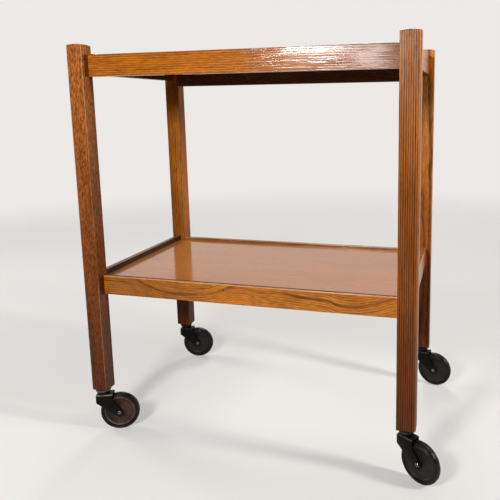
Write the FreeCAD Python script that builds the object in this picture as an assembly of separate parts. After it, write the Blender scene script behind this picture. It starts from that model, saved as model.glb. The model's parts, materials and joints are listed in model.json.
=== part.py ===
import FreeCAD, Part
import math
import os

from FreeCAD import Vector

# Two-tier oak tea trolley on four swivel casters, in millimetres.
# X runs along the long side, the front faces -Y and the floor is Z = 0.

# Frame, measured over the legs
overall_height = 769.0
frame_width = 646.0
frame_depth = 380.0

# Legs: square posts with one large rounded corner, facing out, and a domed top
leg_width = 34.0
leg_depth = 29.0
leg_corner_radius = 6.0
leg_arris = 0.8
leg_dome_rise = 4.0

# Rails round both trays
top_rail_height = 40.5
lower_rail_height = 37.0
rail_thickness = 10.5
rail_top_radius = 1.6
rail_bottom_radius = 0.8
side_rail_inset = 11.5
leg_reveal = 19.5
lower_tray_level = 325.0
side_rail_raise = 5.0
back_rail_extra_height = 8.5

# Stub tenons of the rails, in mortises of the legs
tenon_thickness = 5.0
tenon_length = 12.0
tenon_shoulder = 6.0
mortise_end_gap = 0.5

# Tray panels, each let in below the rail tops and carried on fillets
tray_lip = 6.0
panel_thickness = 5.0
panel_gap = 0.3
fillet_width = 9.0
fillet_height = 9.0

# Casters: a socket in the leg, and a stem that carries an offset hooded fork
caster_height = 91.5
caster_trail = 30.5
socket_flange_radius = 11.5
socket_flange_thickness = 1.5
socket_neck_radius = 9.5
socket_neck_height = 2.2
socket_plate_radius = 14.5
socket_plate_thickness = 2.3
socket_race_radius = 12.0
socket_race_thickness = 6.5
socket_wall = 2.0
socket_depth = 42.0
socket_clearance = 0.05
stem_radius = 4.75
stem_length = 38.0
stem_tip_chamfer = 1.2
stem_head_radius = 6.2
stem_head_thickness = 2.2
swivel_gap = 0.3
running_clearance = 0.05
seat_clearance = 0.02

fork_sheet = 2.2
fork_gap = 18.4
fork_bend_radius = 2.6
hood_back = 14.0
hood_front = 19.0
hood_back_height = 16.0
hood_front_height = 14.0
hood_throat_radius = 6.0
boss_radius = 8.5

# Wheels: a dished disc with a hub and a tyre
wheel_headroom = 1.4
tyre_depth = 7.2
tyre_width = 12.0
tyre_crown = 2.0
tyre_clearance = 0.05
hub_radius = 7.0
hub_end_gap = 0.4
hub_shoulder = 1.6
disc_web = 4.4
disc_rim_width = 10.0
disc_rim_land = 1.8
disc_step_width = 8.0
axle_radius = 3.0
axle_head_radius = 4.0
axle_head_rise = 1.8

# Direction in which each caster trails, in degrees from +X towards +Y
trail_angles = {
    "front_left": 22.0,
    "front_right": -30.0,
    "back_left": 12.0,
    "back_right": -13.0,
}
corner_signs = {
    "front_left": (-1, -1),
    "front_right": (1, -1),
    "back_left": (-1, 1),
    "back_right": (1, 1),
}
tray_levels = {
    "top": overall_height - leg_reveal,
    "lower": lower_tray_level,
}
rail_heights = {
    "top": top_rail_height,
    "lower": lower_rail_height,
}
# Turn about Z that takes a rail from the front to its own side
side_turns = {"front": 0, "right": 90, "back": 180, "left": 270}

up = Vector(0, 0, 1)
across = Vector(0, 1, 0)
centre = Vector(0, 0, 0)

tray_half_width = frame_width / 2 - side_rail_inset - rail_thickness
tray_half_depth = frame_depth / 2 - leg_depth
fork_width = fork_gap + 2 * fork_sheet
socket_plate_top = caster_height - socket_flange_thickness - socket_neck_height
socket_race_face = socket_plate_top - socket_plate_thickness - socket_race_thickness
fork_top = socket_race_face - swivel_gap
# The wheel clears the front end of the hood's top plate, which is short of the axle
hood_room = fork_top - fork_sheet - wheel_headroom
hood_to_axle = caster_trail - hood_front
wheel_radius = (hood_room ** 2 + hood_to_axle ** 2) / (2 * hood_room)
axle_centre = Vector(caster_trail, 0, wheel_radius)


# Start, middle and end of the tangent arc that rounds a corner between two neighbours
def rounded_corner(previous, point, following, radius):
    before = (previous - point).normalize()
    after = (following - point).normalize()
    half_angle = before.getAngle(after) / 2
    bisector = (before + after).normalize()
    start = point + before * (radius / math.tan(half_angle))
    end = point + after * (radius / math.tan(half_angle))
    middle = point + bisector * (radius / math.sin(half_angle) - radius)
    return start, middle, end


# Closed wire through (point, radius) corners, each rounded by a tangent arc
def rounded_outline(corners):
    points = [point for point, radius in corners]
    following = points[1:] + points[:1]
    runs = []
    for index, (point, radius) in enumerate(corners):
        runs.append(rounded_corner(points[index - 1], point, following[index], radius))
    edges = []
    for index, (start, middle, end) in enumerate(runs):
        previous_end = runs[index - 1][2]
        edges.append(Part.LineSegment(previous_end, start).toShape())
        edges.append(Part.Arc(start, middle, end).toShape())
    return Part.Wire(edges)


# Solid of revolution from a closed list of points and arcs in one half plane
def revolved(edges, base, axis):
    return Part.Face(Part.Wire(edges)).revolve(base, axis, 360)


def line(start, end):
    return Part.LineSegment(start, end).toShape()


def polyline(points):
    return [line(start, end) for start, end in zip(points, points[1:])]


# Point where a line from outside touches a circle in the XZ plane
def tangent_point(outside, circle_centre, radius, turn):
    towards = circle_centre - outside
    length = math.sqrt(towards.Length ** 2 - radius ** 2)
    angle = math.degrees(math.asin(radius / towards.Length)) * turn
    direction = FreeCAD.Rotation(across, angle).multVec(towards.normalize())
    return outside + direction * length


# Distances from the centre to a rail's inner and outer faces, and its length between the legs
def tray_reach(side):
    if side in ("front", "back"):
        return tray_half_depth
    return tray_half_width


def rail_reach(side):
    return tray_reach(side) + rail_thickness


def rail_length(side):
    if side in ("front", "back"):
        return frame_width - 2 * leg_width
    return frame_depth - 2 * leg_depth


def rail_top(tray, side):
    if side in ("left", "right"):
        return tray_levels[tray] + side_rail_raise
    return tray_levels[tray]


def height_of_rail(tray, side):
    if (tray, side) == ("top", "back"):
        return rail_heights[tray] + back_rail_extra_height
    return rail_heights[tray]


# The two tenons of a rail, longer by the end gap where they cut the mortises
def rail_tenons(tray, side, end_gap):
    height = height_of_rail(tray, side) - 2 * tenon_shoulder
    bottom = rail_top(tray, side) - tenon_shoulder - height
    near_face = -rail_reach(side) + (rail_thickness - tenon_thickness) / 2
    length = tenon_length + end_gap
    tenons = []
    for start in (rail_length(side) / 2, -rail_length(side) / 2 - length):
        corner = Vector(start, near_face, bottom)
        tenon = Part.makeBox(length, tenon_thickness, height, corner)
        tenon.rotate(centre, up, side_turns[side])
        tenons.append(tenon)
    return tenons


def make_rail(tray, side):
    half_length = rail_length(side) / 2
    outer = -rail_reach(side)
    inner = outer + rail_thickness
    top = rail_top(tray, side)
    bottom = top - height_of_rail(tray, side)
    section = rounded_outline([
        (Vector(-half_length, outer, bottom), rail_bottom_radius),
        (Vector(-half_length, inner, bottom), rail_bottom_radius),
        (Vector(-half_length, inner, top), rail_top_radius),
        (Vector(-half_length, outer, top), rail_top_radius),
    ])
    rail = Part.Face(section).extrude(Vector(2 * half_length, 0, 0))
    rail.rotate(centre, up, side_turns[side])
    return rail.fuse(rail_tenons(tray, side, 0)).removeSplitter()


def leg_centre(corner):
    sign_x, sign_y = corner_signs[corner]
    return Vector(sign_x * (frame_width - leg_width) / 2, sign_y * (frame_depth - leg_depth) / 2, 0)


# Everything above a shallow dome over the leg's top
def dome_cutter(axis_point):
    half_diagonal = math.hypot(leg_width, leg_depth) / 2
    dome_radius = (half_diagonal ** 2 + leg_dome_rise ** 2) / (2 * leg_dome_rise)
    low_corner = axis_point - Vector(leg_width, leg_depth, 0) + up * (overall_height - leg_dome_rise)
    block = Part.makeBox(2 * leg_width, 2 * leg_depth, 2 * leg_dome_rise, low_corner)
    ball = Part.makeSphere(dome_radius, axis_point + up * (overall_height - dome_radius))
    return block.cut(ball)


def make_leg(corner, mortises):
    sign_x, sign_y = corner_signs[corner]
    middle = leg_centre(corner)
    out_x = Vector(sign_x * leg_width / 2, 0, 0)
    out_y = Vector(0, sign_y * leg_depth / 2, 0)
    foot = middle + up * caster_height
    outline = rounded_outline([
        (foot + out_x + out_y, leg_corner_radius),
        (foot - out_x + out_y, leg_arris),
        (foot - out_x - out_y, leg_arris),
        (foot + out_x - out_y, leg_arris),
    ])
    leg = Part.Face(outline).extrude(up * (overall_height - caster_height))
    socket_bore = Part.makeCylinder(
        stem_radius + running_clearance + socket_wall + socket_clearance, socket_depth + socket_clearance, foot)
    return leg.cut([dome_cutter(middle), socket_bore] + mortises)


def make_panel(tray):
    half_width = tray_half_width - panel_gap
    half_depth = tray_half_depth - panel_gap
    bottom = tray_levels[tray] - tray_lip - panel_thickness
    return Part.makeBox(2 * half_width, 2 * half_depth, panel_thickness, Vector(-half_width, -half_depth, bottom))


# Square fillet on a rail's inner face, under the panel; the side ones fit between the long ones
def make_fillet(tray, side):
    half_length = tray_half_width
    if side in ("left", "right"):
        half_length = tray_half_depth - fillet_width
    bottom = tray_levels[tray] - tray_lip - panel_thickness - fillet_height
    corner = Vector(-half_length, -tray_reach(side), bottom)
    fillet = Part.makeBox(2 * half_length, fillet_width, fillet_height, corner)
    fillet.rotate(centre, up, side_turns[side])
    return fillet


# Socket in the leg: a flange, a neck, a round plate and a race below it, drawn as half a section
def make_socket():
    bore = stem_radius + running_clearance
    tube = bore + socket_wall
    flange_face = caster_height - socket_flange_thickness
    plate_face = socket_plate_top - socket_plate_thickness
    points = [
        Vector(bore, 0, socket_race_face),
        Vector(socket_race_radius, 0, socket_race_face),
        Vector(socket_race_radius, 0, plate_face),
        Vector(socket_plate_radius, 0, plate_face),
        Vector(socket_plate_radius, 0, socket_plate_top),
        Vector(socket_neck_radius, 0, socket_plate_top),
        Vector(socket_neck_radius, 0, flange_face),
        Vector(socket_flange_radius, 0, flange_face),
        Vector(socket_flange_radius, 0, caster_height),
        Vector(tube, 0, caster_height),
        Vector(tube, 0, caster_height + socket_depth),
        Vector(bore, 0, caster_height + socket_depth),
        Vector(bore, 0, socket_race_face),
    ]
    return revolved(polyline(points), centre, up)


# Stem with a head riveted under the fork's top plate
def make_stem():
    plate_face = fork_top - fork_sheet
    tip = caster_height + stem_length
    points = [
        Vector(0, 0, plate_face - stem_head_thickness),
        Vector(stem_head_radius - stem_head_thickness, 0, plate_face - stem_head_thickness),
        Vector(stem_head_radius, 0, plate_face),
        Vector(stem_radius, 0, plate_face),
        Vector(stem_radius, 0, tip - stem_tip_chamfer),
        Vector(stem_radius - stem_tip_chamfer, 0, tip),
        Vector(0, 0, tip),
        Vector(0, 0, plate_face - stem_head_thickness),
    ]
    return revolved(polyline(points), centre, up)


# Side outline of the fork: an upright hood whose cheeks taper to a round boss at the axle
def fork_outline():
    top_back = Vector(-hood_back, 0, fork_top)
    top_front = Vector(hood_front, 0, fork_top)
    foot_back = top_back - up * hood_back_height
    foot_front = top_front - up * hood_front_height
    boss_back = tangent_point(foot_back, axle_centre, boss_radius, 1)
    boss_front = tangent_point(foot_front, axle_centre, boss_radius, -1)
    away = (axle_centre - (foot_back + foot_front) / 2).normalize()
    throat = rounded_corner(boss_front, foot_front, top_front, hood_throat_radius)
    edges = [line(boss_front, throat[0]), Part.Arc(*throat).toShape()]
    edges += polyline([throat[2], top_front, top_back, foot_back, boss_back])
    edges.append(Part.Arc(boss_back, axle_centre + away * boss_radius, boss_front).toShape())
    return Part.Wire(edges)


# Edges of the hood's bends: round its top plate and down the corners of its back wall
def on_hood_bend(edge):
    box = edge.BoundBox
    half_width = fork_width / 2
    on_top = box.ZMin > fork_top - fork_sheet
    on_back = box.XMax < -hood_back + fork_sheet
    on_side = min(abs(abs(box.YMin) - half_width), abs(abs(box.YMax) - half_width)) < seat_clearance
    runs_along = box.YLength < seat_clearance
    return (on_top and on_back) or (on_side and runs_along and (on_top or on_back))


def make_fork():
    block = Part.Face(fork_outline()).extrude(across * fork_width)
    block.translate(across * (-fork_width / 2))
    bends = [edge for edge in block.Edges if on_hood_bend(edge)]
    block = block.makeFillet(fork_bend_radius, bends)
    reach = caster_trail + wheel_radius + hood_back
    hollow = Part.makeBox(
        reach, fork_gap, fork_top - fork_sheet, Vector(-hood_back + fork_sheet, -fork_gap / 2, 0))
    axle_hole = Part.makeCylinder(
        axle_radius + seat_clearance, fork_width, axle_centre - across * (fork_width / 2), across)
    stem_hole = Part.makeCylinder(stem_radius + seat_clearance, fork_top)
    return block.cut([hollow, axle_hole, stem_hole])


# Rivet through both cheeks, with domed heads
def make_axle():
    half_width = fork_width / 2
    tip = half_width + axle_head_rise
    dome_radius = (axle_head_radius ** 2 + axle_head_rise ** 2) / (2 * axle_head_rise)
    half_angle = math.asin(axle_head_radius / dome_radius) / 2
    crown_offset = tip - dome_radius * (1 - math.cos(half_angle))
    edges = []
    for side in (-1, 1):
        neck = axle_centre + Vector(0, side * half_width, axle_radius)
        rim = axle_centre + Vector(0, side * half_width, axle_head_radius)
        crown = axle_centre + Vector(0, side * crown_offset, dome_radius * math.sin(half_angle))
        pole = axle_centre + Vector(0, side * tip, 0)
        edges.append(line(neck, rim))
        edges.append(Part.Arc(rim, crown, pole).toShape())
    edges.append(line(axle_centre - across * tip, axle_centre + across * tip))
    shaft = axle_centre + up * axle_radius
    edges.append(line(shaft - across * half_width, shaft + across * half_width))
    return revolved(Part.__sortEdges__(edges), axle_centre, across)


# Disc with a plain hub, dished on both faces out to a flat land under the tyre
def make_wheel():
    bore = axle_radius + running_clearance
    hub_half = fork_gap / 2 - hub_end_gap
    rim = wheel_radius - tyre_depth
    land = rim - disc_rim_land
    step = hub_radius + hub_shoulder
    dish = (step + land) / 2
    edges = []
    for side in (-1, 1):
        hub_inner = axle_centre + Vector(0, side * hub_half, bore)
        hub_outer = axle_centre + Vector(0, side * hub_half, hub_radius)
        step_foot = axle_centre + Vector(0, side * disc_step_width / 2, step)
        dish_low = axle_centre + Vector(0, side * disc_web / 2, dish)
        land_inner = axle_centre + Vector(0, side * disc_rim_width / 2, land)
        land_outer = axle_centre + Vector(0, side * disc_rim_width / 2, rim)
        edges += polyline([hub_inner, hub_outer, step_foot])
        edges.append(Part.Arc(step_foot, dish_low, land_inner).toShape())
        edges.append(line(land_inner, land_outer))
    half_rim = across * (disc_rim_width / 2)
    edges.append(line(axle_centre + up * rim - half_rim, axle_centre + up * rim + half_rim))
    hub_face = across * hub_half
    edges.append(line(axle_centre + up * bore - hub_face, axle_centre + up * bore + hub_face))
    return revolved(Part.__sortEdges__(edges), axle_centre, across)


# Solid tyre with straight sides and a crowned tread
def make_tyre():
    seat = wheel_radius - tyre_depth + tyre_clearance
    half_width = tyre_width / 2
    shoulder = wheel_radius - tyre_crown
    sides = [axle_centre + Vector(0, half_width, radius) for radius in (shoulder, seat)]
    far_sides = [axle_centre + Vector(0, -half_width, radius) for radius in (seat, shoulder)]
    edges = polyline(sides + far_sides)
    edges.append(Part.Arc(far_sides[1], axle_centre + up * wheel_radius, sides[0]).toShape())
    return revolved(edges, axle_centre, across)


# Turn a caster piece to its corner's trailing direction and set it under the leg
def set_caster(piece, corner):
    placed = piece.copy()
    placed.rotate(centre, up, trail_angles[corner])
    placed.translate(leg_centre(corner))
    return placed


def build_nodes():
    nodes = {}
    mortises = []
    for tray in tray_levels:
        for side in side_turns:
            nodes[f"{tray}_{side}_rail"] = make_rail(tray, side)
            nodes[f"{tray}_{side}_fillet"] = make_fillet(tray, side)
            mortises += rail_tenons(tray, side, mortise_end_gap)
        nodes[f"{tray}_panel"] = make_panel(tray)
    caster_pieces = {
        "caster_socket": make_socket(),
        "caster_stem": make_stem(),
        "caster_fork": make_fork(),
        "axle": make_axle(),
        "wheel": make_wheel(),
        "tyre": make_tyre(),
    }
    for corner in corner_signs:
        nodes[f"leg_{corner}"] = make_leg(corner, mortises)
        for name, piece in caster_pieces.items():
            nodes[f"{name}_{corner}"] = set_caster(piece, corner)
    return nodes


# The trailing casters reach past the legs, so the origin moves to the middle of the whole outline
def origin_shift(nodes):
    bounds = Part.makeCompound(list(nodes.values())).optimalBoundingBox(False)
    return Vector(-bounds.Center.x, -bounds.Center.y, 0)


nodes = build_nodes()
shift = origin_shift(nodes)
os.makedirs("parts", exist_ok=True)
for name, shape in nodes.items():
    shape.translate(shift)
    shape.exportStep(f"parts/{name}.step")
print(f"{len(nodes)} nodes, origin moved by {shift.x:.3f}, {shift.y:.3f}")
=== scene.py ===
import json
import math
from functools import partial

import bmesh
import bpy
from mathutils import Euler, Matrix, Vector


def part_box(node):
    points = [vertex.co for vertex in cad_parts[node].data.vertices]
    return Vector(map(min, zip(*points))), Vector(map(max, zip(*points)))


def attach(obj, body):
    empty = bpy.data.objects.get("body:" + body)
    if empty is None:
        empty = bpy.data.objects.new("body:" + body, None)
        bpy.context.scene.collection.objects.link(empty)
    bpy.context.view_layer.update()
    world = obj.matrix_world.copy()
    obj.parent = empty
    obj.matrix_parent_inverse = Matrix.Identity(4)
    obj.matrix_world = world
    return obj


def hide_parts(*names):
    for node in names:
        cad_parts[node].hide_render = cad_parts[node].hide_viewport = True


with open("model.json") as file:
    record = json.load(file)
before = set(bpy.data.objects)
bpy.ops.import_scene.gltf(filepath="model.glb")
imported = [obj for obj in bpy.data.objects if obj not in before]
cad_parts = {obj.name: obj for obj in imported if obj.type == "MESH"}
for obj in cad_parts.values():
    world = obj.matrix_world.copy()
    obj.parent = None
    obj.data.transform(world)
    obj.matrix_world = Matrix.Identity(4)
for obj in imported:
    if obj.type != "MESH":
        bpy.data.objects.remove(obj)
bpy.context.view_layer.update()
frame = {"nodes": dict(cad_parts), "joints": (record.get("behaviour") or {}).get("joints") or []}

mm = 0.001
corners = ("front_left", "front_right", "back_left", "back_right")
print("frame loaded:", len(frame["nodes"]), "nodes")


def hexColour(text):  # sRGB hex to the linear colour that sockets take
    channels = [int(text[i:i + 2], 16) / 255 for i in (1, 3, 5)]
    return tuple(c / 12.92 if c <= 0.04045 else ((c + 0.055) / 1.055) ** 2.4 for c in channels) + (1.0,)


def addNode(tree, kind, settings=None, *values, **named):  # a node as a value gives its first output
    made = tree.nodes.new("ShaderNode" + kind)
    for key, value in (settings or {}).items():
        setattr(made, key, value)
    filled = list(zip([socket for socket in made.inputs if socket.enabled], values))
    filled += [(made.inputs[key.replace("_", " ")], value) for key, value in named.items()]
    for socket, value in filled:
        if isinstance(value, bpy.types.Node):
            value = next(output for output in value.outputs if output.enabled)
        if isinstance(value, bpy.types.NodeSocket):
            tree.links.new(value, socket)
        else:
            socket.default_value = value
    return made


# Node settings that come up again and again
times = {"operation": "MULTIPLY"}
plus = {"operation": "ADD"}
highest = {"operation": "MAXIMUM"}
length = {"operation": "LENGTH"}
facing = {"operation": "DOT_PRODUCT"}
smooth = {"interpolation_type": "SMOOTHSTEP"}
tinted = {"data_type": "RGBA"}
multiplied = {"data_type": "RGBA", "blend_type": "MULTIPLY"}


def setStops(ramp, stops):  # stops are (place, grey)
    elements = ramp.color_ramp.elements
    while len(elements) < len(stops):
        elements.new(0.5)
    for element, (place, grey) in zip(elements, stops):
        element.position = place
        element.color = (grey, grey, grey, 1)


def newMaterial(name):  # an empty material, and the call that adds a node to it
    material = bpy.data.materials.new(name)
    material.use_nodes = True
    material.node_tree.nodes.clear()
    return material, partial(addNode, material.node_tree)


def dress(nodeName, material):
    mesh = frame["nodes"][nodeName].data
    mesh.materials.clear()
    mesh.materials.append(material)


# Camera: the photograph's place and angle, measured from the middle of the four legs
cameraSpec = {
    "place": (395.1, -1092.0, 652.3),  # mm, height above the floor
    "yaw": 0.2586,
    "pitch": -0.1534,
    "roll": 0.0121,
    "focalPixels": 560.2,
    "axisPixel": (319.2, 191.5),
    "framePixels": 500,
    "sensor": 36,
}


def placeCamera(spec):
    sinYaw, cosYaw = math.sin(spec["yaw"]), math.cos(spec["yaw"])
    sinPitch, cosPitch = math.sin(spec["pitch"]), math.cos(spec["pitch"])
    forward = Vector((-sinYaw * cosPitch, cosYaw * cosPitch, sinPitch))
    level = Vector((cosYaw, sinYaw, 0))
    down = forward.cross(level)
    right = level * math.cos(spec["roll"]) + down * math.sin(spec["roll"])
    turn = Matrix((right, right.cross(forward), -forward)).transposed()
    boxes = [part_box("leg_" + corner) for corner in corners]
    middle = sum((low + high for low, high in boxes), Vector()) / (2 * len(boxes))
    place = Vector((middle.x, middle.y, 0)) + Vector(spec["place"]) * mm
    data = bpy.data.cameras.new("camera")
    size = spec["framePixels"]
    data.sensor_width = spec["sensor"]
    data.lens = spec["focalPixels"] * spec["sensor"] / size
    data.shift_x = (size / 2 - spec["axisPixel"][0]) / size
    data.shift_y = (spec["axisPixel"][1] - size / 2) / size
    camera = bpy.data.objects.new("camera", data)
    bpy.context.scene.collection.objects.link(camera)
    camera.matrix_world = Matrix.Translation(place) @ turn.to_4x4()
    bpy.context.scene.camera = camera


placeCamera(cameraSpec)
print("camera placed")

# Studio: a pale floor that fades into a pale room, a lamp in front with a dim pane beside it,
# one lamp to the right, one to the left and one behind
studioSpec = {
    "floorHalf": 6.0,
    "fadeStart": 1.0,
    "fadeEnd": 3.4,
    "floorColour": "#bfbcb8",
    "floorBounce": "#56534f",
    "floorGlow": 0.3,
    "glowColour": "#fdfcfa",
    "roomColour": "#ece9e6",
    "frontColour": "#565350",
    "roomTurn": (-0.75, 0.15),  # the room goes from its front colour to pale, as far as a way points back
    "roomStrength": 0.1,
    "lamps": {
        "key": dict(place=(-0.215, -1.37, 1.0), aim=(-0.05, 0, 0.62), size=(0.22, 0.22), watts=16.5),
        "pane": dict(place=(0.015, -1.37, 0.83), aim=(0.015, 0, 0.83), size=(0.14, 0.14), watts=0.85),
        "right": dict(place=(2.1, -0.25, 1.3), aim=(0, 0, 0.5), size=(0.25, 0.7), watts=40),
        "left": dict(place=(-2.1, 0.35, 1.2), aim=(0, 0, 0.5), size=(0.5, 0.7), watts=16),
        "back": dict(place=(-0.3, 2.4, 2.3), aim=(0, 0, 0.5), size=(1.2, 0.8), watts=40),
    },
}


def addLamp(name, spec):
    data = bpy.data.lights.new(name, "AREA")
    data.shape = "RECTANGLE"
    data.size, data.size_y = spec["size"]
    data.energy = spec["watts"]
    lamp = bpy.data.objects.new(name, data)
    bpy.context.scene.collection.objects.link(lamp)
    lamp.visible_camera = False
    lamp.location = spec["place"]
    lamp.rotation_euler = (Vector(spec["aim"]) - Vector(spec["place"])).to_track_quat("-Z", "Y").to_euler()


def seenRays(node):  # 1 where a ray comes from the camera, a gloss or a clear surface
    rays = node("LightPath").outputs
    seen = node("Math", highest, rays["Is Camera Ray"], rays["Is Glossy Ray"])
    return node("Math", highest, seen, rays["Is Transmission Ray"])


def makeFloor(spec):
    bm = bmesh.new()
    bmesh.ops.create_grid(bm, x_segments=1, y_segments=1, size=spec["floorHalf"])
    mesh = bpy.data.meshes.new("floor")
    bm.to_mesh(mesh)
    bm.free()
    floor = bpy.data.objects.new("floor", mesh)
    bpy.context.scene.collection.objects.link(floor)
    material, node = newMaterial("painted board")  # matt and pale, so it shows only the shadow
    distance = node("VectorMath", length, node("TexCoord").outputs["Object"])
    fade = node("MapRange", smooth, distance, spec["fadeStart"], spec["fadeEnd"])
    seen = seenRays(node)
    tint = node("Mix", tinted, seen, hexColour(spec["floorBounce"]), hexColour(spec["floorColour"]))
    matt = node("BsdfDiffuse", None, tint)
    strength = node("Math", times, seen, spec["floorGlow"])
    glow = node("Emission", None, hexColour(spec["glowColour"]), strength)
    board = node("AddShader", None, matt, glow)
    faded = node("MixShader", None, fade, board, node("BsdfTransparent"))
    node("OutputMaterial", None, faded)
    mesh.materials.append(material)


def makeRoom(spec):
    world = bpy.data.worlds.new("pale room")
    bpy.context.scene.world = world
    world.use_nodes = True
    world.node_tree.nodes.clear()
    node = partial(addNode, world.node_tree)
    way = node("SeparateXYZ", None, node("TexCoord").outputs["Generated"])
    behind = node("MapRange", smooth, way.outputs["Y"], *spec["roomTurn"])
    pale = node("Math", highest, behind, node("LightPath").outputs["Is Camera Ray"])
    tint = node("Mix", tinted, pale, hexColour(spec["frontColour"]), hexColour(spec["roomColour"]))
    strength = node("MapRange", None, seenRays(node), 0.0, 1.0, spec["roomStrength"], 1.0)
    node("OutputWorld", None, node("Background", None, tint, strength))


makeFloor(studioSpec)
makeRoom(studioSpec)
for lampName, lampSpec in studioSpec["lamps"].items():
    addLamp(lampName, lampSpec)
bpy.context.scene.view_settings.view_transform = "Standard"
print("studio lit")

# Varnished oak, sawn from a log: growth rings round a pith, dark open pores, ray flecks and worn arrises,
# under a clear gloss that mirrors the room at a slant and breaks up over the pores
grainTurns = {"X": Euler((0, -math.pi / 2, 0)), "Y": Euler((math.pi / 2, 0, 0)), "Z": Euler((0, 0, 0))}
oakSpec = {
    # colours
    "light": "#b06a2c",
    "dark": "#6a3413",
    "pore": "#38190a",
    "worn": "#c8925a",
    "lowShade": "#ffffff",  # painted shade that deepens towards the floor, standing in for the light's falloff, with some patina
    "lowSpan": (0.72, 0.08),  # m above the floor where it starts and where it is full
    # rings
    "ringWidth": 4.6,  # mm
    "ringDepth": 0.75,
    # how dark a year is, from one spring to the next
    "yearTone": [(0.0, 0.2), (0.12, 1.0), (0.34, 0.85), (0.56, 0.2), (0.85, 0.0), (1.0, 0.2)],
    "luck": 0.45,  # how far the years differ
    "warp": 2.0,  # mm the rings wander
    "wanderSize": (60, 240),  # mm across and along, as the sizes below
    "breaks": 0.5,  # how far the rings break up into dashes
    "dashSize": (5, 55),
    # pores, and flecks and patches that are lighter or darker than the wood
    "poreSize": (1.5, 22.0),  # drawn about twice as coarse as oak's so that it shows
    "poreDepth": 0.6,
    "fleckSize": (1.6, 14.0),
    "speckle": 0.2,
    "patchSize": (35, 160),
    "patchy": 0.14,
    "patterns": {  # detail of each one's noise, and where it goes from none to all
        "dash": (2.0, 0.38, 0.6),
        "pore": (2.0, 0.52, 0.66),
        "fleck": (1.5, 0.36, 0.64),
        "patch": (3.0, 0.3, 0.7),
    },
    # lines drawn along the grain, as (mm from the middle, value)
    "drawnReach": 300.0,
    "figure": None,  # mm that the rings are lifted on the face
    "figureSpan": (-20.0, 20.0),
    "shade": None,  # tone drawn lighter or darker along the board; on the top front rail it is painted shade
    "shadeSpan": (0.0, 1.5),
    "band": 0.0,  # depth of the one broad dark year, which follows the figure
    "bandReach": 12.0,  # mm to each side, over which its tone goes
    "bandTone": [(0.0, 0.0), (0.3, 0.1), (0.44, 0.75), (0.5, 1.0), (0.56, 0.5), (0.75, 0.0)],
    "knot": None,  # (along, up) in mm from the middle
    "knotSize": (2.4, 1.0),  # mm from its eye where it starts and where it is full
    # wear
    "arris": (0.99, 0.9),  # how flat a face still is where wear starts and where it is full
    "rubbed": (0.15, 0.8),  # how bare the arrises are, least and most
    "rubbedSpan": (0.36, 0.6),  # where the patches' noise goes from least to most
    "outward": None,  # way of the rounded corner, which is hardly worn
    "outwardWear": 0.15,
    "joined": (),  # rails let into this leg, with painted shade of the gap in front of them, and some old polish
    "joinedSpan": (3.0, 9.0),  # mm from the leg's front where the painted shade starts and where it is full
    "joinedDepth": 0.85,
    "bare": None,  # (way, colour) of faces drawn dark: painted shade, and on undersides also bare wood gone dark
    "inner": None,  # (way, colour) of the inner edge of the top, drawn dark: painted shade of the gap to the panel, with old polish
    "innerSpan": (3.0, 6.0),  # mm in from the other edge where it starts and where it is full
    # varnish
    "roughness": 0.2,
    "dull": 0.12,  # roughness that the pores add
    "gloss": 0.5,
    "relief": 0.16,  # mm that the pores go down
    "ringRelief": 0.5,  # share of it that the rings take
}


def drawAlong(node, spec, key, along):  # the value of a line given point by point
    low, high = spec[key + "Span"]
    reach = spec["drawnReach"]
    drawn = node("FloatCurve", Value=node("MapRange", None, along, -reach, reach))
    points = drawn.mapping.curves[0].points
    while len(points) < len(spec[key]):
        points.new(0.5, 0.5)
    for point, (place, value) in zip(points, spec[key]):
        point.location = (0.5 + place / 2 / reach, (value - low) / (high - low))
    drawn.mapping.update()
    return node("MapRange", None, drawn, 0.0, 1.0, low, high)


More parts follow.
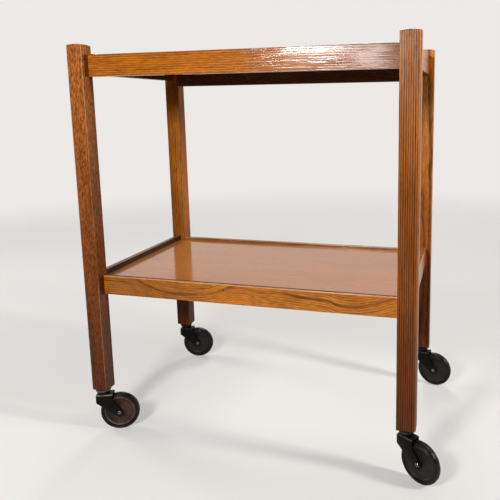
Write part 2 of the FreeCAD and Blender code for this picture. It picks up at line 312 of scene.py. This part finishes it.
def growLog(node, spec, coords):  # the rings that the board was sawn from, and what follows them
    low, high = spec["box"]
    turn = grainTurns[spec["grain"]]
    pith = Vector((*spec["pith"], 0)) - turn.to_matrix() @ ((low + high) / 2 / mm)
    board = node("Mapping", Vector=coords["Object"], Location=pith, Rotation=turn, Scale=(1 / mm,) * 3)
    wide, long = spec["wanderSize"]
    slow = node("VectorMath", times, board, (1 / wide, 1 / wide, 1 / long))
    wander = node("TexNoise", None, slow, Scale=1.0, Detail=2.0, Roughness=0.55)
    swing = 4 * spec["warp"]  # the noise keeps near its middle, so it gets four times the reach
    place = node("VectorMath", {"operation": "MULTIPLY_ADD"}, wander.outputs["Color"],
                 (swing, swing, 0), board)
    radius = node("VectorMath", length, node("VectorMath", times, place, (1, 1, 0)))
    along = node("SeparateXYZ", None, board).outputs["Z"]
    if spec["figure"]:
        radius = node("Math", plus, radius, drawAlong(node, spec, "figure", along))
    cross = node("SeparateXYZ", None, place).outputs
    angle = node("Math", {"operation": "ARCTAN2"}, cross["Y"], cross["X"])
    sweep = node("Math", times, angle, Vector(spec["pith"]).length)
    trunk = node("CombineXYZ", None, radius, sweep, along)  # mm out from the pith, round it and along it
    log = {"radius": radius, "along": along, "up": cross["X"]}
    ranges = {
        "dash": (1 - spec["breaks"], 1.0),
        "pore": (0.0, 1.0),
        "fleck": (1 - spec["speckle"], 1 + spec["speckle"]),
        "patch": (1 - spec["patchy"], 1 + spec["patchy"]),
    }
    for key, (detail, start, end) in spec["patterns"].items():
        wide, long = spec[key + "Size"]
        stretched = node("VectorMath", times, trunk, (1 / wide, 1 / wide, 1 / long))
        log[key + "Noise"] = node("TexNoise", None, stretched, Scale=1.0, Detail=detail, Roughness=0.55)
        log[key] = node("MapRange", smooth, log[key + "Noise"], start, end, *ranges[key])
    count = node("Math", {"operation": "DIVIDE"}, radius, spec["ringWidth"])
    season = node("ValToRGB", None, node("Math", {"operation": "FRACT"}, count))
    setStops(season, spec["yearTone"])
    year = node("TexWhiteNoise", {"noise_dimensions": "1D"}, node("Math", {"operation": "FLOOR"}, count))
    strength = node("MapRange", smooth, year, 0.0, 1.0, 1 - spec["luck"], 1.0)
    log["ring"] = node("Math", times, node("Math", times, season, strength), log["dash"])
    spring = node("MapRange", smooth, log["ring"], 0.0, 0.8, 0.35, 1.0)
    log["pores"] = node("Math", times, log["pore"], spring)  # most of them in the spring wood
    return log


def colourWood(node, spec, coords, log):  # rings and the broad year, pores, a knot, then tone and the painted shade towards the floor
    light, dark, pore, lowShade = (hexColour(spec[key]) for key in ("light", "dark", "pore", "lowShade"))
    wood = node("Mix", tinted, node("Math", times, log["ring"], spec["ringDepth"]), light, dark)
    if spec["band"]:
        reach = spec["bandReach"]
        beside = node("Math", {"operation": "SUBTRACT"}, log["radius"], Vector(spec["pith"]).length)
        flame = node("ValToRGB", None, node("MapRange", smooth, beside, -reach, reach))
        setStops(flame, spec["bandTone"])
        broken = node("Math", times, flame, log["dash"])
        wood = node("Mix", tinted, node("Math", times, broken, spec["band"]), wood, dark)
    wood = node("Mix", tinted, node("Math", times, log["pores"], spec["poreDepth"]), wood, pore)
    if spec["knot"]:
        knotAlong, knotUp = spec["knot"]
        face = node("CombineXYZ", None, log["up"], log["along"])
        eye = node("VectorMath", {"operation": "DISTANCE"}, face, (spec["pith"][0] - knotUp, knotAlong, 0))
        wood = node("Mix", tinted, node("MapRange", smooth, eye, *spec["knotSize"]), wood, pore)
    tone = node("Math", times, log["fleck"], log["patch"])
    if spec["shade"]:
        tone = node("Math", times, tone, drawAlong(node, spec, "shade", log["along"]))
    wood = node("Mix", multiplied, 1.0, wood, tone)
    # painted shade towards the floor, for the light falling off, with some patina
    height = node("SeparateXYZ", None, coords["Object"]).outputs["Z"]
    lowShadeShare = node("MapRange", smooth, height, *spec["lowSpan"])
    return node("Mix", tinted, lowShadeShare, wood, node("Mix", multiplied, 1.0, wood, lowShade))


def wearWood(node, spec, coords, log, wood):  # rubbed arrises, painted shade with old polish beside the rails, and faces drawn dark as painted shade, on undersides with bare wood
    turned = node("VectorMath", {"operation": "ABSOLUTE"}, coords["Normal"])
    sides = node("SeparateXYZ", None, turned).outputs
    flat = node("Math", highest, node("Math", highest, sides["X"], sides["Y"]), sides["Z"])
    patchy = node("MapRange", smooth, log["patchNoise"], *spec["rubbedSpan"], *spec["rubbed"])
    wear = node("Math", times, node("MapRange", smooth, flat, *spec["arris"]), patchy)
    if spec["outward"]:
        aim = node("VectorMath", facing, coords["Normal"], spec["outward"])
        wear = node("Math", times, wear, node("MapRange", smooth, aim, 0.4, 0.8, 1.0, spec["outwardWear"]))
    wood = node("Mix", tinted, wear, wood, hexColour(spec["worn"]))
    place = node("SeparateXYZ", None, coords["Object"]).outputs
    start, end = (spec["box"][0].y + inset * mm for inset in spec["joinedSpan"])
    # painted shade of the gap in front of each rail, with some old polish
    for railName in spec["joined"]:
        low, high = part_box(railName)
        inwards = (-math.copysign(1, spec["outward"][0]), 0, 0)
        aim = node("VectorMath", facing, coords["Normal"], inwards)
        shadeAndPolish = node("MapRange", smooth, aim, 0.5, 0.9, 0.0, spec["joinedDepth"])
        edges = [("Z", low.z - mm, low.z + mm), ("Z", high.z + mm, high.z - mm),
                 ("Y", start, end), ("Y", low.y + mm, low.y - mm)]
        for axis, outside, inside in edges:
            shadeAndPolish = node("Math", times, shadeAndPolish, node("MapRange", smooth, place[axis], outside, inside))
        wood = node("Mix", tinted, shadeAndPolish, wood, hexColour(spec["pore"]))
    # faces drawn dark: painted shade, on undersides with bare wood
    if spec["bare"]:
        way, colour = spec["bare"]
        aim = node("VectorMath", facing, coords["Normal"], way)
        wood = node("Mix", tinted, node("MapRange", smooth, aim, 0.3, 0.7), wood, hexColour(colour))
    return wood


def varnishWood(node, spec, coords, log, wood):  # gloss that the pores dull, over the relief of the grain
    least = spec["roughness"]
    rough = node("MapRange", smooth, log["pores"], 0.0, 1.0, least, least + spec["dull"])
    # the inner edge of the top drawn dark and rough: painted shade of the gap to the panel, with old polish
    if spec["inner"]:
        way, colour = spec["inner"]
        start, end = (Vector(way).dot(spec["box"][0]) + inset * mm for inset in spec["innerSpan"])
        edge = node("MapRange", smooth, node("VectorMath", facing, coords["Object"], way), start, end)
        top = node("SeparateXYZ", None, coords["Normal"]).outputs["Z"]
        shadeAndPolish = node("Math", times, edge, node("MapRange", smooth, top, 0.2, 0.6))
        wood = node("Mix", tinted, shadeAndPolish, wood, hexColour(colour))
        rough = node("Math", highest, rough, shadeAndPolish)
    depth = node("Math", plus, node("Math", times, log["ring"], spec["ringRelief"]), log["pores"])
    bump = node("Bump", {"invert": True}, Strength=1.0, Distance=spec["relief"] * mm, Height=depth)
    shader = node("BsdfPrincipled", Base_Color=wood, Roughness=rough, IOR=1.5, Normal=bump,
                  Specular_IOR_Level=spec["gloss"])
    node("OutputMaterial", None, shader)


def makeOak(name, nodeName, **changes):
    spec = dict(oakSpec, box=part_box(nodeName), **changes)
    material, node = newMaterial(name)
    coords = node("TexCoord").outputs
    log = growLog(node, spec, coords)
    wood = colourWood(node, spec, coords, log)
    wood = wearWood(node, spec, coords, log, wood)
    varnishWood(node, spec, coords, log, wood)
    dress(nodeName, material)


# Legs: the front right one is rift sawn with straight lines, the front left one flat sawn and speckled
# The legs get the painted shade towards the floor, with some patina
legSpec = dict(grain="Z", lowShade="#aa9182", gloss=0.18, roughness=0.32)
frontRails = ("top_front_rail", "lower_front_rail")
legChanges = {
    "front_left": dict(
        pith=(12, 70), ringWidth=5.5, warp=4.0, ringDepth=0.45, breaks=0.8, speckle=0.55,
        fleckSize=(1.3, 8.0), rubbed=(0.1, 0.75), light="#9c5924", dark="#5c290c", joined=frontRails),
    "front_right": dict(
        pith=(220, 20), ringWidth=3.7, warp=0.3, ringDepth=1.0, breaks=0.3, luck=0.15, speckle=0.1,
        poreSize=(1.2, 30), relief=0.3, gloss=0.2, light="#c2702a", dark="#160702", joined=frontRails),
    "back_left": dict(
        pith=(-90, 60), ringWidth=5.0, warp=2.5, gloss=0.12, light="#d8842c", dark="#7a3c12"),
    "back_right": dict(
        pith=(30, -85), ringWidth=6.0, warp=4.0, ringDepth=1.0, light="#cc7e36", dark="#552609"),
}
for corner in corners:
    outward = Vector((-1 if "left" in corner else 1, -1 if "front" in corner else 1, 0)).normalized()
    changes = dict(legSpec, outward=outward)
    changes.update(legChanges[corner])
    makeOak("oak leg " + corner.replace("_", " "), "leg_" + corner, **changes)
print("legs dressed")

# Rails: straight grain on the top front, a broad flame on the lower front
railSpecs = {
    "top_front": dict(
        grain="X", pith=(160, 20), ringWidth=4.0, warp=1.2, ringDepth=1.0, breaks=0.45, luck=0.35,
        poreSize=(1.5, 60), roughness=0.12, dull=0.4, relief=0.05,
        light="#be6d1a", dark="#6e3208", worn="#4a2812",
        # painted shade: the right end drawn darker, where less light falls on it
        shade=[(-300, 0.95), (0, 1.05), (80, 1.0), (190, 0.72), (300, 0.62)]),
    "lower_front": dict(
        grain="X", pith=(150, 30), ringWidth=4.4, warp=1.2, ringDepth=0.8, breaks=0.6, band=0.95,
        poreSize=(1.5, 34), gloss=0.3, light="#d67f24", dark="#5f2c0a", worn="#d6a060", rubbed=(0.6, 1.0),
        figure=[(-300, 18), (-244, 18), (-190, 2.5), (-132, -7.4), (-95, -6.5), (-35, 6.5), (0, 14),
                (28, 9), (72, 8), (116, 4), (162, 0), (200, -7), (240, -2), (270, 8), (300, 19)],
        shade=[(-300, 0.72), (-150, 0.83), (0, 1.03), (300, 1.0)],
        # the inner edge of its top is painted shade of the gap to the panel, with old polish
        knot=(-35, 6), inner=((0, 1, 0), "#4c2004")),
    "top_back": dict(grain="X", pith=(140, 30), light="#8a5526", dark="#57290f"),
    "lower_back": dict(grain="X", pith=(120, -40), light="#96602c", dark="#6a3a16"),
    "top_left": dict(grain="Y", pith=(90, 50), light="#8a5526", dark="#57290f"),
    "lower_left": dict(
        grain="Y", pith=(100, -60), light="#8a5526", dark="#57290f", roughness=0.32, gloss=0.2,
        # its inner face drawn dark: painted shade
        bare=((1, 0, 0), "#331a0b")),
    "top_right": dict(grain="Y", pith=(110, 40)),
    "lower_right": dict(grain="Y", pith=(-80, 60)),
}
# Panels: thin veneer, its grain filled and polished so that it mirrors the legs and the room
panelSpec = dict(
    grain="X", pith=(20, 400), ringWidth=3.4, warp=3.0, ringDepth=0.4, poreDepth=0.3, speckle=0.08,
    patchy=0.05, roughness=0.1, relief=0.02, gloss=0.72, light="#b06d34", dark="#8b5126",
    # the underside drawn dark: painted shade under the tray, with bare wood
    bare=((0, 0, -1), "#1c120b"))
# Fillets under the panels: the same oak, drawn dark as painted shade under the trays, with some stain, and
# left matt
filletSpec = dict(
    pith=(60, 30), roughness=0.5, light="#4a2c15", dark="#2e190c", worn="#5a3a20",
    bare=((0, 0, -1), "#24150c"))
filletGrains = {"front": "X", "right": "Y", "back": "X", "left": "Y"}

for railName, railSpec in railSpecs.items():
    makeOak("oak rail " + railName.replace("_", " "), railName + "_rail", **railSpec)
for tray in ("top", "lower"):
    makeOak("oak veneer " + tray, tray + "_panel", **panelSpec)
    for side, grain in filletGrains.items():
        makeOak(f"oak fillet {tray} {side}", f"{tray}_{side}_fillet", grain=grain, **filletSpec)
print("trays dressed")

# Black stove enamel: nearly matt, patchy with grime, and worn to the steel on its bends
enamelSpec = {
    "base": "#080807",
    "patch": "#12100e",
    "bare": "#6c6761",  # shows where the piece is worn
    "roughness": 0.36,
    "gloss": 0.1,
    "metallic": 0.0,
    "grit": 6.0,  # mm from patch to patch
    "pits": 0.3,  # mm
    "pitDepth": 0.2,  # share of them that shows
    "patchSpan": (0.4, 0.7),  # where the noise goes from base to patch
    "wearSpan": (0.35, 0.55),  # where it goes from least to most worn
    "leastWear": 0.35,
    "roughSpan": (0.3, 0.7),  # where it goes from smoothest to roughest
    "roughSpread": (-0.08, 0.14),
}
brightSpec = dict(enamelSpec, bare="#b9b3ab")  # the front left caster's bends are bright
# Bright steel rivets: grey metal with a small glint, dulled by handling
rivetSpec = dict(
    enamelSpec, base="#6e6963", patch="#5c5751", bare="#6e6963",
    roughness=0.2, gloss=0.5, metallic=1.0, grit=2.5)
# Hard rubber: black, with a narrow sheen on the tread's edges
rubberSpec = dict(
    enamelSpec, base="#070606", patch="#110f0d", bare="#1b1917",
    roughness=0.24, gloss=0.24, grit=9.0)
# Pressed discs: black paint under dust, and on the front left one rust, darker on one side, with a painted
# highlight on its bead
discSpec = dict(
    enamelSpec, base="#12100e", patch="#241d17", bare="#3a322b",
    roughness=0.42, gloss=0.3, grit=12.0)
rustLow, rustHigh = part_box("wheel_front_left")
# its bare colour lights the bead: wear, with a painted highlight
rustSpec = dict(
    discSpec, base="#2e2015", patch="#573c28", bare="#9a745e", darkSide="#17130f",
    rustSpan=(rustLow.x / mm + 8, rustHigh.x / mm - 24))  # mm along X, from the dark side to the rust


def makeWorn(name, spec):  # patches of grime, dust or rust, a darker side, and the bare colour where the piece is worn, on one bead lightened as a painted highlight
    material, node = newMaterial(name)
    place = node("VectorMath", {"operation": "SCALE"}, node("TexCoord").outputs["Object"], 1 / mm)
    blot = node("TexNoise", None, place, Scale=1 / spec["grit"], Detail=4.0, Roughness=0.6)
    share = node("MapRange", None, blot, *spec["patchSpan"])
    tint = node("Mix", tinted, share, hexColour(spec["base"]), hexColour(spec["patch"]))
    # one side drawn darker
    if "darkSide" in spec:
        along = node("SeparateXYZ", None, place)
        rusty = node("MapRange", smooth, along.outputs["X"], *spec["rustSpan"])
        tint = node("Mix", tinted, rusty, hexColour(spec["darkSide"]), tint)
    rubbed = node("Attribute", {"attribute_name": "wear"}).outputs["Fac"]
    patchy = node("MapRange", None, blot, *spec["wearSpan"], spec["leastWear"], 1.0)
    wear = node("Math", times, rubbed, patchy)
    tint = node("Mix", tinted, wear, tint, hexColour(spec["bare"]))
    smoothest, roughest = (spec["roughness"] + spread for spread in spec["roughSpread"])
    rough = node("MapRange", None, blot, *spec["roughSpan"], smoothest, roughest)
    bump = node("Bump", Strength=spec["pitDepth"], Distance=spec["pits"] * mm, Height=blot)
    shader = node("BsdfPrincipled", Base_Color=tint, Roughness=rough, Metallic=spec["metallic"],
                  Normal=bump, Specular_IOR_Level=spec["gloss"])
    node("OutputMaterial", None, shader)
    return material


# Turned pieces, in mm: along the axle and radius for half a tyre or wheel, radius and height for the socket
tyreSpec = {
    "half": [(1.5, 38.35), (1.9, 37.8), (2.4, 37.75), (2.8, 38.2), (4.4, 37.7), (5.5, 36.9), (6.0, 35.8),
             (6.0, 34.6), (5.6, 34.2), (5.6, 33.6), (6.0, 33.2), (6.0, 31.3)],
    "rim": 0.15,
    "worn": lambda point: 0.0,
}
wheelSpec = {
    "half": [(8.8, 3.1), (8.8, 7.0), (4.4, 7.4), (3.9, 8.9), (2.8, 13.0), (2.2, 19.0), (2.7, 24.0),
             (3.8, 27.4), (5.2, 28.4), (5.5, 29.2), (5.2, 30.0), (4.8, 30.3), (4.8, 31.2)],
    "rim": 0.3,
    "worn": lambda point: 0.45 if 28.2 < point.xz.length < 30.1 else 0.0,  # the bead, worn; on the front left disc its light bare colour is also a painted highlight
}
socketSpec = {
    "profile": [(4.8, 79.0), (12.0, 79.0), (12.0, 85.5), (14.5, 85.5), (14.5, 87.8), (9.5, 87.8),
                (9.5, 90.0), (11.5, 90.0), (11.5, 91.5), (6.8, 91.5), (6.8, 133.5), (4.8, 133.5)],
    "rim": 0.5,
    "worn": lambda point: 0.5 if point.xy.length > 13.9 and point.z > 86 else 0.0,  # the plate's edge
}
turnedSpec = {"steps": 80, "sharpAngle": 0.5, "roundSteps": 2, "merge": 0.01}


def mirrored(half):  # the whole profile of a piece that is the same on both sides of the wheel
    near = [(0, along, radius) for along, radius in half]
    return near + [(0, -along, radius) for along, radius in reversed(half)]


def spinProfile(points, axis, spec):  # a closed profile turned round, its corners rounded off
    bm = bmesh.new()
    ring = [bm.verts.new(point) for point in points]
    loop = [bm.edges.new(pair) for pair in zip(ring, ring[1:] + ring[:1])]
    bmesh.ops.spin(bm, geom=ring + loop, cent=(0, 0, 0), axis=axis, angle=math.tau,
                   steps=turnedSpec["steps"], use_merge=True)
    bmesh.ops.recalc_face_normals(bm, faces=bm.faces)
    sharp = [edge for edge in bm.edges if edge.calc_face_angle(0) > turnedSpec["sharpAngle"]]
    bmesh.ops.bevel(bm, geom=sharp, offset=spec["rim"], offset_type="OFFSET",
                    segments=turnedSpec["roundSteps"], profile=0.5, affect="EDGES", material=-1,
                    clamp_overlap=True)
    bmesh.ops.remove_doubles(bm, verts=bm.verts, dist=turnedSpec["merge"])  # where two rounds meet
    bmesh.ops.recalc_face_normals(bm, faces=bm.faces)
    wear = bm.verts.layers.float.new("wear")
    for vert in bm.verts:
        vert[wear] = spec["worn"](vert.co)
    return bm


# Fork: a folded sheet hood, closed at the back, whose cheeks taper to a boss round the axle (mm)
forkSpec = {
    "hoodBack": 14.0,
    "hoodFront": 19.0,
    "backDrop": 16.0,
    "frontDrop": 14.0,
    "throat": 4.0,  # round where the front edge turns down to the boss
    "boss": 8.5,
    "bossSteps": 14,
    "width": 22.8,
    "sheet": 2.2,
    "bend": 2.6,
    "bendSteps": 4,
    "rim": 0.5,
    "rimSteps": 2,
    "rimAngle": 1.2,
    "merge": 0.05,
    "wornReach": 2.4,  # how far from the folds the enamel is worn
}


def touchPoint(outside, centre, radius, turn):  # where a straight edge runs into the boss
    towards = centre - outside
    swing = math.asin(radius / towards.length) * turn
    return outside + Matrix.Rotation(swing, 3, "Y") @ towards * math.cos(swing)


def bendFork(spec, top, axle):  # outline, drawn out across, opened below, folded, given its thickness
    half = spec["width"] / 2
    topBack = Vector((-spec["hoodBack"], -half, top))
    topFront = Vector((spec["hoodFront"], -half, top))
    footBack = topBack - Vector((0, 0, spec["backDrop"]))
    footFront = topFront - Vector((0, 0, spec["frontDrop"]))
    centre = Vector((axle.x, -half, axle.z))
    bossBack = touchPoint(footBack, centre, spec["boss"], 1)
    bossFront = touchPoint(footFront, centre, spec["boss"], -1)
    bm = bmesh.new()
    run = [bm.verts.new(point) for point in (bossBack, footBack, topBack, topFront, footFront, bossFront)]
    for pair in zip(run, run[1:]):
        bm.edges.new(pair)
    sweep = (bossFront - centre).angle(bossBack - centre)
    bmesh.ops.spin(bm, geom=[run[-1]], cent=centre, axis=(0, 1, 0), angle=sweep, steps=spec["bossSteps"])
    bmesh.ops.remove_doubles(bm, verts=bm.verts, dist=spec["merge"])
    bmesh.ops.contextual_create(bm, geom=bm.edges)
    bmesh.ops.bevel(bm, geom=[run[4]], offset=spec["throat"], offset_type="OFFSET",
                    segments=spec["bendSteps"], profile=0.5, affect="VERTICES", material=-1)
    grown = bmesh.ops.extrude_face_region(bm, geom=bm.faces[:])["geom"]
    far = [part for part in grown if isinstance(part, bmesh.types.BMVert)]
    bmesh.ops.translate(bm, verts=far, vec=(0, spec["width"], 0))
    bmesh.ops.recalc_face_normals(bm, faces=bm.faces)
    bm.normal_update()
    cheeks = [face for face in bm.faces if abs(face.normal.y) > 0.5]
    hood = [face for face in bm.faces if face.normal.z > 0.9]
    closed = [face for face in bm.faces
              if face.normal.x < -0.9 and face.calc_center_median().x < 0.01 - spec["hoodBack"]]
    spare = [face for face in bm.faces if face not in cheeks + hood + closed]
    bmesh.ops.delete(bm, geom=spare, context="FACES")
    folds = [edge for edge in bm.edges if len(edge.link_faces) == 2]
    bmesh.ops.bevel(bm, geom=folds, offset=spec["bend"], offset_type="OFFSET",
                    segments=spec["bendSteps"], profile=0.5, affect="EDGES", material=-1)
    bmesh.ops.solidify(bm, geom=bm.faces[:], thickness=spec["sheet"])
    bm.normal_update()
    rims = [edge for edge in bm.edges if edge.calc_face_angle(0) > spec["rimAngle"]]
    bmesh.ops.bevel(bm, geom=rims, offset=spec["rim"], offset_type="OFFSET", segments=spec["rimSteps"],
                    profile=0.5, affect="EDGES", material=-1, clamp_overlap=True)
    wear = bm.verts.layers.float.new("wear")
    for vert in bm.verts:
        fold = math.hypot(half - abs(vert.co.y), top - vert.co.z)
        vert[wear] = max(0.0, 1 - fold / spec["wornReach"])
    return bm


def setPiece(bm, name, place, body, nodeName, material):
    bmesh.ops.transform(bm, matrix=place @ Matrix.Diagonal((mm, mm, mm, 1)), verts=bm.verts)
    mesh = bpy.data.meshes.new(name)
    bm.to_mesh(mesh)
    bm.free()
    mesh.shade_smooth()
    mesh.set_sharp_from_angle(angle=0.6)
    mesh.materials.append(material)
    piece = bpy.data.objects.new(name, mesh)
    bpy.context.scene.collection.objects.link(piece)
    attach(piece, body)
    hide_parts(nodeName)


# Casters: each stands on its joints' axes, turned the way it trails
steel = makeWorn("bright steel", rivetSpec)
rubber = makeWorn("hard rubber", rubberSpec)
joints = {joint["name"]: joint for joint in frame["joints"]}
for corner in corners:
    oldest = corner == "front_left"
    enamel = makeWorn("stove enamel " + corner.replace("_", " "), brightSpec if oldest else enamelSpec)
    disc = makeWorn("pressed disc " + corner.replace("_", " "), rustSpec if oldest else discSpec)
    pivot = Vector(joints["swivel_" + corner]["pos_m"])
    axle = Vector(joints["roll_" + corner]["pos_m"])
    trail = axle.xy - pivot.xy
    turn = Matrix.Rotation(math.atan2(trail.y, trail.x), 4, "Z")
    hub = Matrix.Translation(axle) @ turn
    foot = Matrix.Translation((pivot.x, pivot.y, 0)) @ turn
    rolls, swivels = "roller_" + corner, "caster_" + corner

    tyre = spinProfile(mirrored(tyreSpec["half"]), (0, 1, 0), tyreSpec)
    setPiece(tyre, "tyre_ribbed_" + corner, hub, rolls, "tyre_" + corner, rubber)
    wheel = spinProfile(mirrored(wheelSpec["half"]), (0, 1, 0), wheelSpec)
    setPiece(wheel, "wheel_pressed_" + corner, hub, rolls, "wheel_" + corner, disc)
    upright = [(radius, 0, height) for radius, height in socketSpec["profile"]]
    socket = spinProfile(upright, (0, 0, 1), socketSpec)
    setPiece(socket, "socket_turned_" + corner, foot, "frame", "caster_socket_" + corner,
             enamel)
    fork = bendFork(forkSpec, pivot.z / mm, Vector((trail.length, 0, axle.z)) / mm)
    setPiece(fork, "fork_folded_" + corner, foot, swivels, "caster_fork_" + corner, enamel)
    dress("caster_stem_" + corner, steel)
    dress("axle_" + corner, steel)
print("casters made")
